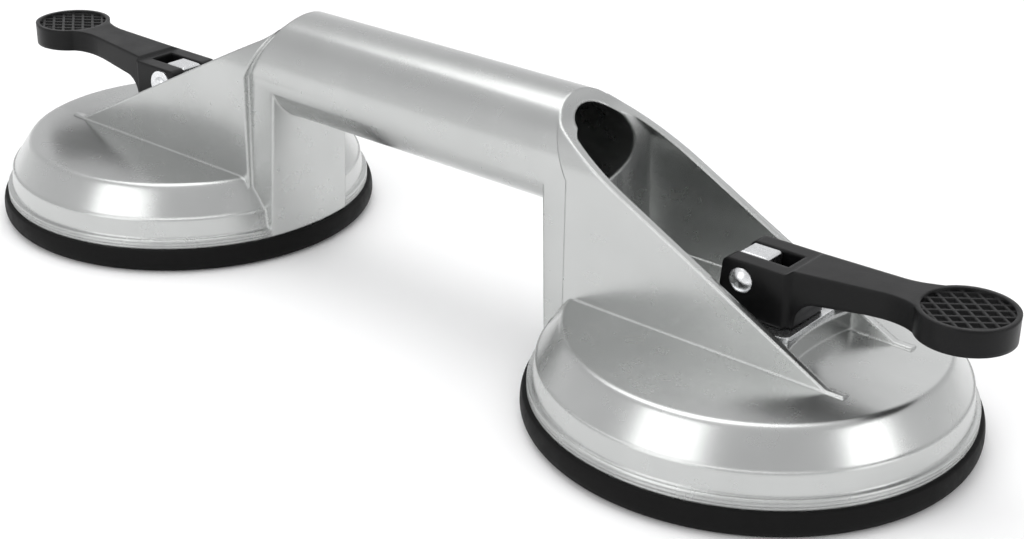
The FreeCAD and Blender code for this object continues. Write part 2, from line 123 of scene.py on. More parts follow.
class ShaderGraph:
    """Small helper that adds and joins the nodes of one material."""

    def __init__(self, name: str) -> None:
        """Start a material with a bare Principled shader.

        Args:
            name: the material's name.
        """
        self.material = bpy.data.materials.new(name)
        self.material.use_nodes = True
        self.tree = self.material.node_tree
        self.tree.nodes.clear()
        self.shader = self.tree.nodes.new("ShaderNodeBsdfPrincipled")
        self.output = self.tree.nodes.new("ShaderNodeOutputMaterial")
        self.join(self.shader.outputs["BSDF"], self.output.inputs["Surface"])

    def add(self, kind: str, **settings: object) -> bpy.types.Node:
        """Add a node and set its properties.

        Args:
            kind: the node's type, without the ShaderNode prefix.
            settings: property names and values.

        Returns:
            The new node.
        """
        node = self.tree.nodes.new("ShaderNode" + kind)
        for key, value in settings.items():
            setattr(node, key, value)
        return node

    def join(self, source: bpy.types.NodeSocket, target: bpy.types.NodeSocket) -> None:
        """Link two sockets."""
        self.tree.links.new(source, target)

    def constants(self, **values: object) -> None:
        """Set the shader's own sockets; an underscore in a name stands for a space."""
        for key, value in values.items():
            self.shader.inputs[key.replace("_", " ")].default_value = value

    def noise(self, scale: float, detail: float, roughness: float = 0.5) -> bpy.types.NodeSocket:
        """Add a noise texture in object space.

        Args:
            scale: cells per metre.
            detail: octaves of finer noise.
            roughness: strength of the finer noise.

        Returns:
            The noise's value socket, about 0.5 on average.
        """
        place = self.add("TexCoord")
        texture = self.add("TexNoise")
        texture.inputs["Scale"].default_value = scale
        texture.inputs["Detail"].default_value = detail
        texture.inputs["Roughness"].default_value = roughness
        self.join(place.outputs["Object"], texture.inputs["Vector"])
        return texture.outputs["Fac"]

    def spread(self, value: bpy.types.NodeSocket, low: float, high: float) -> bpy.types.NodeSocket:
        """Map the middle of a noise's range to a range of numbers.

        Args:
            value: noise value.
            low: result at the low end of the noise.
            high: result at its high end.

        Returns:
            The mapped value's socket.
        """
        remap = self.add("MapRange")
        remap.inputs["From Min"].default_value = NOISE_LOW
        remap.inputs["From Max"].default_value = NOISE_HIGH
        remap.inputs["To Min"].default_value = low
        remap.inputs["To Max"].default_value = high
        self.join(value, remap.inputs["Value"])
        return remap.outputs["Result"]

    def tint(self, value: bpy.types.NodeSocket, dark: Colour, light: Colour) -> bpy.types.NodeSocket:
        """Turn a noise value into a colour between two tones.

        Args:
            value: noise value.
            dark: colour at the low end of the noise.
            light: colour at its high end.

        Returns:
            The colour's socket.
        """
        ramp = self.add("ValToRGB")
        ramp.color_ramp.elements[0].position = NOISE_LOW
        ramp.color_ramp.elements[0].color = (*dark, 1)
        ramp.color_ramp.elements[1].position = NOISE_HIGH
        ramp.color_ramp.elements[1].color = (*light, 1)
        self.join(value, ramp.inputs["Fac"])
        return ramp.outputs["Color"]

    def relief(self, height: bpy.types.NodeSocket, depth: float,
               normal: bpy.types.NodeSocket | None = None) -> bpy.types.NodeSocket:
        """Add a bump from a height value.

        Args:
            height: value between 0 and 1.
            depth: depth in metres that a value of 1 stands for.
            normal: normal that the bump is added to, if it isn't the surface's own.

        Returns:
            The new normal's socket.
        """
        bump = self.add("Bump")
        bump.inputs["Strength"].default_value = 1.0
        bump.inputs["Distance"].default_value = depth
        self.join(height, bump.inputs["Height"])
        if normal is not None:
            self.join(normal, bump.inputs["Normal"])
        return bump.outputs["Normal"]

    def paint(self, tone: bpy.types.NodeSocket, dark: Colour, light: Colour) -> None:
        """Give the shader a colour between two tones."""
        self.join(self.tint(tone, dark, light), self.shader.inputs["Base Color"])

    def dull(self, wear: bpy.types.NodeSocket, low: float, high: float) -> None:
        """Give the shader a roughness between two values."""
        self.join(self.spread(wear, low, high), self.shader.inputs["Roughness"])

    def soft_edges(self, radius: float) -> bpy.types.NodeSocket:
        """Round the look of sharp edges.

        Args:
            radius: radius of the rounding, in metres.

        Returns:
            The rounded normal's socket.
        """
        bevel = self.add("Bevel", samples=6)
        bevel.inputs["Radius"].default_value = radius
        return bevel.outputs["Normal"]


@dataclass(frozen=True)
class CastAluminium:
    """Polished die casting under a clear lacquer, with a faint ripple from the polishing wheel.

    Attributes:
        dark: tone of the duller patches.
        light: tone of the brighter patches.
        cloud_per_metre: scale of the patches of tone.
        lacquer: weight of the clear lacquer.
        lacquer_roughness: roughness of the lacquer.
        wear_per_metre: scale of the patches of wear.
        roughness_low: roughness of the least worn metal.
        roughness_high: roughness of the most worn metal.
        ripple_per_metre: scale of the polishing ripple.
        ripple_depth: depth of the ripple, in metres.
        grain_per_metre: scale of the fine grain.
        grain_depth: depth of the grain, in metres.
        edge_radius: rounding of the edges, in metres.
    """

    dark: Colour = (0.500, 0.509, 0.502)
    light: Colour = (0.530, 0.539, 0.532)
    cloud_per_metre: float = 60.0
    lacquer: float = 0.25
    lacquer_roughness: float = 0.12
    wear_per_metre: float = 140.0
    roughness_low: float = 0.25
    roughness_high: float = 0.28
    ripple_per_metre: float = 45.0
    ripple_depth: float = 0.00010
    grain_per_metre: float = 2600.0
    grain_depth: float = 0.0000012
    edge_radius: float = 0.0011

    def build(self) -> bpy.types.Material:
        """Make the material.

        Returns:
            The new material.
        """
        graph = ShaderGraph(Surface.CAST.value)
        graph.constants(Metallic=1.0, Coat_Weight=self.lacquer, Coat_Roughness=self.lacquer_roughness)
        cloud = graph.noise(self.cloud_per_metre, 3.0)
        graph.paint(cloud, self.dark, self.light)
        graph.dull(graph.noise(self.wear_per_metre, 4.0, 0.6), self.roughness_low, self.roughness_high)
        edge = graph.soft_edges(self.edge_radius)
        ripple = graph.relief(graph.noise(self.ripple_per_metre, 1.0), self.ripple_depth, edge)
        grain = graph.relief(graph.noise(self.grain_per_metre, 2.0), self.grain_depth, ripple)
        graph.join(grain, graph.shader.inputs["Normal"])
        return graph.material


@dataclass(frozen=True)
class MouldedRubber:
    """Matte black moulded rubber with a fine skin and a little chalky bloom.

    Attributes:
        dark: tone of the clean rubber.
        light: tone of the bloom.
        gloss: specular level.
        bloom_per_metre: scale of the bloom.
        roughness_low: roughness of the clean rubber.
        roughness_high: roughness of the bloom.
        skin_per_metre: scale of the moulded skin.
        skin_depth: depth of the skin, in metres.
    """

    dark: Colour = (0.0025, 0.0025, 0.0025)
    light: Colour = (0.006, 0.006, 0.006)
    gloss: float = 0.12
    bloom_per_metre: float = 220.0
    roughness_low: float = 0.5
    roughness_high: float = 0.7
    skin_per_metre: float = 1800.0
    skin_depth: float = 0.00003

    def build(self) -> bpy.types.Material:
        """Make the material.

        Returns:
            The new material.
        """
        graph = ShaderGraph(Surface.RUBBER.value)
        graph.constants(Specular_IOR_Level=self.gloss)
        bloom = graph.noise(self.bloom_per_metre, 5.0, 0.65)
        graph.paint(bloom, self.dark, self.light)
        graph.dull(bloom, self.roughness_low, self.roughness_high)
        skin = graph.relief(graph.noise(self.skin_per_metre, 3.0), self.skin_depth)
        graph.join(skin, graph.shader.inputs["Normal"])
        return graph.material


@dataclass(frozen=True)
class MouldedPlastic:
    """Black glass-filled plastic of the levers: satin, with a fine pebbled grain.

    Attributes:
        dark: tone of the darker flow marks.
        light: tone of the lighter flow marks.
        gloss: specular level.
        flow_per_metre: scale of the flow marks.
        roughness_low: roughness of the glossier marks.
        roughness_high: roughness of the duller marks.
        grain_per_metre: scale of the pebbled grain.
        grain_depth: depth of the grain, in metres.
        edge_radius: rounding of the edges, in metres.
    """

    dark: Colour = (0.003, 0.003, 0.0032)
    light: Colour = (0.006, 0.006, 0.0063)
    gloss: float = 0.2
    flow_per_metre: float = 120.0
    roughness_low: float = 0.30
    roughness_high: float = 0.42
    grain_per_metre: float = 2400.0
    grain_depth: float = 0.00003
    edge_radius: float = 0.0012

    def build(self) -> bpy.types.Material:
        """Make the material.

        Returns:
            The new material.
        """
        graph = ShaderGraph(Surface.LEVER.value)
        graph.constants(Specular_IOR_Level=self.gloss)
        flow = graph.noise(self.flow_per_metre, 4.0, 0.6)
        graph.paint(flow, self.dark, self.light)
        graph.dull(flow, self.roughness_low, self.roughness_high)
        edge = graph.soft_edges(self.edge_radius)
        grain = graph.relief(graph.noise(self.grain_per_metre, 2.0), self.grain_depth, edge)
        graph.join(grain, graph.shader.inputs["Normal"])
        return graph.material


@dataclass(frozen=True)
class PlatedMetal:
    """Metal part with a thin plating or a drawn skin.

    Attributes:
        surface: which of the lifter's surfaces it is.
        dark: tone of the duller patches.
        light: tone of the brighter patches.
        roughness_low: roughness of the brighter patches.
        roughness_high: roughness of the duller patches.
        spangle_per_metre: scale of the patches of tone.
        wear_per_metre: scale of the patches of wear.
        skin_per_metre: scale of the fine skin.
        skin_depth: depth of the skin, in metres.
        edge_radius: rounding of the edges, in metres.
    """

    surface: Surface
    dark: Colour
    light: Colour
    roughness_low: float
    roughness_high: float
    spangle_per_metre: float = 500.0
    wear_per_metre: float = 900.0
    skin_per_metre: float = 3000.0
    skin_depth: float = 0.000008
    edge_radius: float = 0.0003

    def build(self) -> bpy.types.Material:
        """Make the material.

        Returns:
            The new material.
        """
        graph = ShaderGraph(self.surface.value)
        graph.constants(Metallic=1.0)
        spangle = graph.noise(self.spangle_per_metre, 4.0, 0.6)
        graph.paint(spangle, self.dark, self.light)
        graph.dull(graph.noise(self.wear_per_metre, 3.0), self.roughness_low, self.roughness_high)
        edge = graph.soft_edges(self.edge_radius)
        skin = graph.relief(graph.noise(self.skin_per_metre, 2.0), self.skin_depth, edge)
        graph.join(skin, graph.shader.inputs["Normal"])
        return graph.material


@dataclass(frozen=True)
class FinishBook:
    """Every finish of the lifter, each made once.

    Attributes:
        materials: the material of each surface.
    """

    materials: dict[Surface, bpy.types.Material]

    @classmethod
    def build(cls) -> "FinishBook":
        """Make all finishes.

        Returns:
            The book that holds them.
        """
        zinc = PlatedMetal(Surface.ZINC, (0.74, 0.75, 0.76), (0.84, 0.85, 0.86), 0.22, 0.32)
        spring = PlatedMetal(Surface.SPRING, (0.30, 0.30, 0.31), (0.46, 0.46, 0.47), 0.28, 0.42)
        bronze = PlatedMetal(Surface.BRONZE, (0.42, 0.29, 0.15), (0.58, 0.42, 0.24), 0.35, 0.50)
        return cls({
            Surface.CAST: CastAluminium().build(),
            Surface.RUBBER: MouldedRubber().build(),
            Surface.LEVER: MouldedPlastic().build(),
            Surface.ZINC: zinc.build(),
            Surface.SPRING: spring.build(),
            Surface.BRONZE: bronze.build(),
        })

    def dress(self, piece: bpy.types.Object, surface: Surface) -> None:
        """Give a piece one finish all over.

        Args:
            piece: a mesh object, made here or carried over from the solids.
            surface: the finish's surface.
        """
        piece.data.materials.clear()
        piece.data.materials.append(self.materials[surface])


# ---------------------------------------------------------------- mesh building


def mesh_piece(name: str, corners: list[Vector], faces: list[tuple[int, ...]], smooth_angle: float = 40.0
               ) -> bpy.types.Object:
    """Make a mesh object and smooth it up to an angle.

    Args:
        name: the piece's name.
        corners: vertex places in metres.
        faces: vertex indices of each face.
        smooth_angle: edges that turn by less than this many degrees are shaded smooth.

    Returns:
        The new object, linked to the scene.
    """
    mesh = bpy.data.meshes.new(name)
    mesh.from_pydata([tuple(corner) for corner in corners], [], faces)
    mesh.update()
    mesh.shade_smooth()
    mesh.set_sharp_from_angle(angle=math.radians(smooth_angle))
    piece = bpy.data.objects.new(name, mesh)
    bpy.context.scene.collection.objects.link(piece)
    return piece


def turned(name: str, profile: Profile, centre: Vector, segments: int = 192) -> bpy.types.Object:
    """Turn a closed profile about an upright axis.

    Args:
        name: the piece's name.
        profile: (radius, height) corners in order; the last joins the first.
        centre: a point of the axis at height 0.
        segments: steps round the axis.

    Returns:
        The new object.
    """
    corners: list[Vector] = []
    rows: list[list[int]] = []
    for radius, height in profile:
        steps = segments if radius > TINY else 1
        row = []
        for step in range(steps):
            angle = 2 * math.pi * step / segments
            row.append(len(corners))
            corners.append(centre + Vector((radius * math.cos(angle), radius * math.sin(angle), height)))
        rows.append(row if steps > 1 else row * segments)
    faces: list[tuple[int, ...]] = []
    for low, high in zip(rows, rows[1:] + rows[:1]):
        if low[0] == low[1] and high[0] == high[1]:
            continue
        for step in range(segments):
            after = (step + 1) % segments
            quad = (low[step], low[after], high[after], high[step])
            faces.append(tuple(dict.fromkeys(quad)))
    return mesh_piece(name, corners, faces)


def rounded(profile: Profile, radii: list[float], steps: int = 5) -> Profile:
    """Round the corners of a closed profile.

    Args:
        profile: corner points in order.
        radii: rounding length at each corner; 0 leaves it sharp.
        steps: points along each rounding.

    Returns:
        The profile with each corner replaced by a smooth run of points.
    """
    result: Profile = []
    count = len(profile)
    for index, (corner, reach) in enumerate(zip(profile, radii)):
        here = Vector((*corner, 0))
        if reach <= 0:
            result.append(corner)
            continue
        before = Vector((*profile[index - 1], 0)) - here
        after = Vector((*profile[(index + 1) % count], 0)) - here
        start = here + before.normalized() * min(reach, before.length / 2)
        end = here + after.normalized() * min(reach, after.length / 2)
        for step in range(steps + 1):
            t = step / steps
            spot = start * (1 - t) ** 2 + here * (2 * t * (1 - t)) + end * t ** 2
            result.append((spot.x, spot.y))
    return result


class Along(Enum):
    """Direction in which an outline is drawn out; the value is the order of outline and run."""

    X = (2, 0, 1)
    Y = (0, 2, 1)
    Z = (0, 1, 2)


class Cut(Enum):
    """What a solid does to the body that it is put on; the value is the modifier's own word."""

    JOIN = "UNION"
    REMOVE = "DIFFERENCE"
    KEEP = "INTERSECT"


def smooth(piece: bpy.types.Object, angle: float) -> None:
    """Shade a piece smooth, apart from edges that turn by more than an angle in degrees."""
    piece.data.shade_smooth()
    piece.data.set_sharp_from_angle(angle=math.radians(angle))


def prism(outline: Profile, low: float, high: float, along: Along) -> bpy.types.Object:
    """Draw an outline out into a solid.

    Args:
        outline: corners in the plane across the run, in order.
        low: start of the run.
        high: end of the run.
        along: direction of the run.

    Returns:
        The new solid, with its faces turned outward.
    """
    corners = []
    for run in (low, high):
        for first, second in outline:
            spot = (first, second, run)
            corners.append(Vector([spot[index] for index in along.value]))
    count = len(outline)
    faces = [tuple(range(count)), tuple(range(2 * count - 1, count - 1, -1))]
    for index in range(count):
        after = (index + 1) % count
        faces.append((index, index + count, after + count, after))
    return turned_outward(mesh_piece("prism", corners, faces))


def turned_outward(piece: bpy.types.Object) -> bpy.types.Object:
    """Turn the faces of a closed piece outward.

    Args:
        piece: the piece that is changed.

    Returns:
        The same piece.
    """
    shell = bmesh.new()
    shell.from_mesh(piece.data)
    bmesh.ops.recalc_face_normals(shell, faces=shell.faces)
    shell.to_mesh(piece.data)
    shell.free()
    return piece


def upright_rod(radius: float, low: float, high: float, segments: int) -> bpy.types.Object:
    """Make an upright round bar on the axis."""
    profile: Profile = [(0.0, low), (radius, low), (radius, high), (0.0, high)]
    return turned_outward(turned("rod", profile, Vector(), segments))


def arch(half_width: float, centre: float, bottom: float) -> Profile:
    """Outline with upright sides and a half-round top.

    Args:
        half_width: half the width, and the radius of the top.
        centre: height of the top's centre.
        bottom: height of the flat bottom.

    Returns:
        The corners in order.
    """
    outline: Profile = [(-half_width, bottom), (half_width, bottom)]
    for step in range(ARC_STEPS + 1):
        angle = math.pi * step / ARC_STEPS
        outline.append((half_width * math.cos(angle), centre + half_width * math.sin(angle)))
    return outline


def carve(body: bpy.types.Object, tool: bpy.types.Object, cut: Cut) -> None:
    """Join a solid to a body or cut it away, and use the solid up.

    Args:
        body: the piece that is changed.
        tool: the solid that is joined or cut away.
        cut: what the solid does to the body.
    """
    step = body.modifiers.new("carve", "BOOLEAN")
    step.operation = cut.value
    step.solver = "EXACT"
    step.object = tool
    graph = bpy.context.evaluated_depsgraph_get()
    mesh = bpy.data.meshes.new_from_object(body.evaluated_get(graph))
    body.modifiers.clear()
    body.data = mesh
    bpy.data.objects.remove(tool)


# ---------------------------------------------------------------- sub-assemblies


@dataclass(frozen=True)
class FrameCasting:
    """The aluminium casting: both cup housings, the cowls and the handle tube.

    Attributes:
        node: the solid that the casting replaces.
        cup_reach: distance from the handle's middle to a cup's axis.
        rim_radius: radius of the rim that clamps the rubber disc.
        rim_wall: thickness of the rim.
        rim_foot: height of the rim's underside.
        rim_top: height of the rim's upper edge.
        skirt_radius: radius of the skirt at the rim.
        ledge_radius: radius of the skirt at the ledge.
        ledge_height: height of the ledge under the shoulder.
        ledge_width: width of the ledge.
        deck_radius: radius of the deck's rounded edge.
        deck_height: height of the flat deck.
        deck_edge: how far the edge's lower corner lies outside that radius.
        deck_drop: how far that corner lies below the deck.
        deck_inset: how far the deck's flat ends inside that radius.
        roundings: rounding of each corner from the rim's upper edge to the deck.
        line_heights: heights of the fine lines round the rim.
        line_half_width: half the width of a line.
        line_depth: depth of a line.
        wall: thickness of the housing.
        tube_radius: outer radius of the handle tube.
        bore_radius: radius of the tube's bore.
        tube_height: height of the tube's axis.
        tube_sink: how far the tube and its bore reach past the crease.
        tube_lap: how far each half of the tube reaches over the handle's middle.
        bore_lap: the same for the bore.
        tower_radius: distance of the foot of the tower's inner face from the cup's axis.
        tower_flare: growth of that distance up to the tube.
        tower_draft: growth of the tower's width down to the rim.
        tower_corner: how much narrower the tower's round face is on each side.
        tower_sink: how far the tower reaches past the crease.
        tower_lift: height of the tower's foot above the rim's underside.
        cowl_half_width: half the width over the cowl's walls.
        cowl_wall: thickness of the cowl's walls.
        cowl_drop: how far the centre of the cowl's arch lies below the tube's axis.
        cowl_sink: how far the cowl's foot lies below the deck.
        crease_reach: distance of the cowl's upright crease from the cup's axis.
        crease_lean: lean of the crease above the arch's centre.
        tip_reach: distance of the cowl's tips from the cup's axis.
        tip_height: height of the tips above the deck.
        tip_length: length of the flat nub at the tip.
        rim_slope: slope of the cowl's slanted rim.
        brow_reach: distance from the cup's axis at which the rim turns up over the tube.
        brow_radius: radius of that turn.
        brow_lean: how far the rim leans back from there to the top of the cut.
        scoop_back: distance of the scoop's round back from the cup's axis.
        scoop_radius: radius of that round back, seen from above.
        floor_height: height of the raised floor.
        floor_reach: distance of the raised floor's front edge from the cup's axis.
        front_radius: radius of that front edge, seen from above.
        boss_radius: radius of the stud's guide boss.
        boss_height: height of the boss's underside.
        boss_lap: how far the boss reaches into the raised floor.
        stud_bore: radius of the hole for the guide bush.
        stud_bore_ends: heights between which that hole is cut.
        bell_foot: height of the foot of the hollow under the housing.
        bell_tuck: how far that hollow's corners lie inside the wall's own line.
        pocket_back: distance of the core-out's back from the cup's axis.
        pocket_side: thickness of the metal beside the core-out.
        wedge_back: distance of the uncut cowl's back from the cup's axis.
        clear_width: half the width of a cutting solid.
        clear_height: top of the solids that cut the crease and the scoop.
        clear_top: top of the solid that cuts the slanted rim.
        clear_back: distance of the back of the solid that cuts the crease.
        clear_front: distance of the front of the solid that cuts the slanted rim.
        scoop_ends: where the scoop's solid begins and ends, before its back is rounded.
        plan_front: front of the solid that rounds the scoop's back.
        plan_foot: foot of the same solid.
        front_top: top of the solid that rounds the raised floor's front edge.
    """

    node: str = "frame_casting"
    cup_reach: float = 0.1100
    rim_radius: float = 0.0583
    rim_wall: float = 0.0040
    rim_foot: float = 0.0072
    rim_top: float = 0.0101
    skirt_radius: float = 0.0570
    ledge_radius: float = 0.0562
    ledge_height: float = 0.0162
    ledge_width: float = 0.0005
    deck_radius: float = 0.0508
    deck_height: float = 0.0251
    deck_edge: float = 0.0009
    deck_drop: float = 0.0026
    deck_inset: float = 0.0010
    roundings: tuple[float, ...] = (0.0005, 0.0, 0.0006, 0.0, 0.0030, 0.0012)
    line_heights: tuple[float, float] = (0.0080, 0.0091)
    line_half_width: float = 0.00022
    line_depth: float = 0.00045
    wall: float = 0.0028
    tube_radius: float = 0.0160
    bore_radius: float = 0.0126
    tube_height: float = 0.0598
    tube_sink: float = 0.006
    tube_lap: float = 0.0005
    bore_lap: float = 0.004
    tower_radius: float = 0.0583
    tower_flare: float = 1.045
    tower_draft: float = 1.07
    tower_corner: float = 0.0012
    tower_sink: float = 0.004
    tower_lift: float = 0.0001
    cowl_half_width: float = 0.0178
    cowl_wall: float = 0.0023
    cowl_drop: float = 0.0020
    cowl_sink: float = 0.003
    crease_reach: float = 0.0490
    crease_lean: float = 0.56
    tip_reach: float = 0.0363
    tip_height: float = 0.0005
    tip_length: float = 0.0052
    rim_slope: float = 0.518
    brow_reach: float = 0.0600
    brow_radius: float = 0.0080
    brow_lean: float = 0.0012
    scoop_back: float = 0.0548
    scoop_radius: float = 0.0172
    floor_height: float = 0.0307
    floor_reach: float = 0.0167
    front_radius: float = 0.060
    boss_radius: float = 0.0110
    boss_height: float = 0.0215
    boss_lap: float = 0.0004
    stud_bore: float = 0.00605
    stud_bore_ends: tuple[float, float] = (0.010, 0.040)
    bell_foot: float = 0.004
    bell_tuck: float = 0.001
    pocket_back: float = 0.0439
    pocket_side: float = 0.0026
    wedge_back: float = 0.1
    clear_width: float = 0.03
    clear_height: float = 0.09
    clear_top: float = 0.15
    clear_back: float = 0.12
    clear_front: float = 0.08
    scoop_ends: tuple[float, float] = (-0.08, 0.05)
    plan_front: float = 0.06
    plan_foot: float = 0.02
    front_top: float = 0.04

    def build(self, finishes: FinishBook) -> bpy.types.Object:
        """Make the whole casting.

        Args:
            finishes: the lifter's finishes.

        Returns:
            The casting.
        """
        ends = [self.end(side) for side in Side]
        body = ends[0]
        carve(body, ends[1], Cut.JOIN)
        body.name = "cast_frame"
        smooth(body, 32.0)
        finishes.dress(body, Surface.CAST)
        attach(body, "frame")
        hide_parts(self.node)
        LOG.info("built %s", body.name)
        return body

    def end(self, side: Side) -> bpy.types.Object:
        """Make one end of the casting, up to the middle of the tube.

        Args:
            side: the end of the handle.

        Returns:
            The end, in its place.
        """
        body = self.housing()
        for part in (self.tower(), self.cowl(), self.tube(self.tube_radius, self.tube_lap)):
            carve(body, part, Cut.JOIN)
        for hollow in (self.slanted_space(), *self.scoop(), self.bell(), self.pocket()):
            carve(body, hollow, Cut.REMOVE)
        floor = self.floor_height - self.wall + self.boss_lap
        carve(body, upright_rod(self.boss_radius, self.boss_height, floor, 64), Cut.JOIN)
        stud_hole = upright_rod(self.stud_bore, *self.stud_bore_ends, 48)
        for hollow in (stud_hole, self.tube(self.bore_radius, self.bore_lap)):
            carve(body, hollow, Cut.REMOVE)
        turn = Matrix.Rotation(0.0 if side is Side.RIGHT else math.pi, 4, "Z")
        body.data.transform(turn @ Matrix.Translation(Vector((self.cup_reach, 0, 0))))
        return body

    def housing(self) -> bpy.types.Object:
        """Make the solid dome of one cup, with fine lines round its rim.

        Returns:
            The dome, about the cup's axis.
        """
        profile: Profile = [(0.0, self.deck_height), (0.0, self.rim_foot), (self.rim_radius, self.rim_foot)]
        radii = [0.0, 0.0, 0.0]
        for height in self.line_heights:
            profile += [(self.rim_radius, height - self.line_half_width),
                        (self.rim_radius - self.line_depth, height),
                        (self.rim_radius, height + self.line_half_width)]
            radii += [0.0, 0.0, 0.0]
        profile += [(self.rim_radius, self.rim_top), (self.skirt_radius, self.rim_top),
                    (self.ledge_radius, self.ledge_height),
                    (self.ledge_radius - self.ledge_width, self.ledge_height),
                    (self.deck_radius + self.deck_edge, self.deck_height - self.deck_drop),
                    (self.deck_radius - self.deck_inset, self.deck_height)]
        return turned_outward(turned("housing", rounded(profile, [*radii, *self.roundings]), Vector(), 256))

    def tower(self) -> bpy.types.Object:
        """Make the upright wall under the tube's end, with its face round the cup's axis.

        Returns:
            The tower, about the cup's axis.
        """
        half = self.tube_radius
        front = -self.crease_reach + self.tower_sink
        outline: Profile = [(front, half), (front, -half)]
        sweep = math.asin((half - self.tower_corner) / self.tower_radius)
        steps = 12
        for step in range(2 * steps + 1):
            angle = math.pi + sweep * (1 - step / steps)
            outline.append((self.tower_radius * math.cos(angle), self.tower_radius * math.sin(angle)))
        body = prism(outline, self.rim_foot + self.tower_lift, self.tube_height, Along.Z)
        for vertex in body.data.vertices:
            if vertex.co.z > self.deck_height:
                vertex.co.x *= self.tower_flare
            else:
                vertex.co.y *= self.tower_draft
        return body

    def cowl(self) -> bpy.types.Object:
        """Make the solid wedge of the cowl: half-round on top, with a crease that leans back above.

        Returns:
            The wedge, about the cup's axis.
        """
        centre = self.tube_height - self.cowl_drop
        section = arch(self.cowl_half_width, centre, self.deck_height - self.cowl_sink)
        wedge = prism(section, -self.wedge_back, self.tip_reach, Along.X)
        lean = (self.clear_height - centre) * self.crease_lean
        behind: Profile = [(-self.crease_reach, 0.0), (-self.crease_reach, centre),
                           (-self.crease_reach - lean, self.clear_height),
                           (-self.clear_back, self.clear_height), (-self.clear_back, 0.0)]
        carve(wedge, prism(behind, -self.clear_width, self.clear_width, Along.Y), Cut.REMOVE)
        return wedge

    def tube(self, radius: float, past: float) -> bpy.types.Object:
        """Make a round bar along the handle, from its middle to the cowl.

        Args:
            radius: the bar's radius.
            past: how far it reaches over the handle's middle.

        Returns:
            The bar, about the cup's axis.
        """
        angles = [math.pi * step / ARC_STEPS for step in range(2 * ARC_STEPS)]
        outline = [(radius * math.cos(angle), self.tube_height + radius * math.sin(angle)) for angle in angles]
        return prism(outline, -self.cup_reach - past, -self.crease_reach + self.tube_sink, Along.X)

    def slanted_space(self) -> bpy.types.Object:
        """Make the space above the slanted rim of the cowl.

        Returns:
            The space as a solid, about the cup's axis.
        """
        low = self.deck_height + self.tip_height
        nub = self.tip_reach - self.tip_length
        far = -self.brow_reach
        outline: Profile = [(self.tip_reach, low), (nub, low), (far, low + self.rim_slope * (nub - far)),
                            (far - self.brow_lean, self.clear_top), (self.clear_front, self.clear_top),
                            (self.clear_front, low)]
        bent = rounded(outline, [0.0, 0.0, self.brow_radius, 0.0, 0.0, 0.0], 16)
        return prism(bent, -self.clear_width, self.clear_width, Along.Y)

    def scoop(self) -> list[bpy.types.Object]:
        """Make the open space between the cowl's walls.

        Returns:
            The space over the raised floor, and the space over the deck beyond it.
        """
        inner = self.cowl_half_width - self.cowl_wall
        centre = self.tube_height - self.cowl_drop
        over_floor = prism(arch(inner, centre, self.floor_height), *self.scoop_ends, Along.X)
        middle = self.scoop_radius - self.scoop_back
        plan: Profile = [(self.plan_front, -self.scoop_radius), (self.plan_front, self.scoop_radius)]
        for step in range(ARC_STEPS + 1):
            angle = math.pi / 2 + math.pi * step / ARC_STEPS
            plan.append((middle + self.scoop_radius * math.cos(angle), self.scoop_radius * math.sin(angle)))
        carve(over_floor, prism(plan, self.plan_foot, self.clear_height, Along.Z), Cut.KEEP)
        front = upright_rod(self.front_radius, self.deck_height, self.front_top, 256)
        front.data.transform(Matrix.Translation(Vector((self.floor_reach + self.front_radius, 0, 0))))
        beyond = prism(arch(inner, centre, self.deck_height), 0.0, self.scoop_ends[1], Along.X)
        carve(beyond, front, Cut.KEEP)
        return [over_floor, beyond]

    def bell(self) -> bpy.types.Object:
        """Make the hollow under the housing.

        Returns:
            The hollow as a solid, about the cup's axis.
        """
        inner = self.rim_radius - self.rim_wall
        roof = self.deck_height - self.wall
        profile: Profile = [(0.0, self.bell_foot), (inner, self.bell_foot), (inner, self.rim_top),
                            (self.ledge_radius - self.wall, self.ledge_height - self.bell_tuck),
                            (self.deck_radius - self.wall - self.bell_tuck, roof), (0.0, roof)]
        return turned_outward(turned("bell", profile, Vector(), 128))

    def pocket(self) -> bpy.types.Object:
        """Make the core-out under the raised floor.

        Returns:
            The core-out as a solid, about the cup's axis.
        """
        half = self.cowl_half_width - self.cowl_wall - self.pocket_side
        foot = self.deck_height - self.wall - self.bell_tuck
        roof = self.floor_height - self.wall
        front = self.floor_reach - self.wall
        outline: Profile = [(-self.pocket_back, foot), (front, foot), (front, roof), (-self.pocket_back, roof)]
        return prism(outline, -half, half, Along.Y)


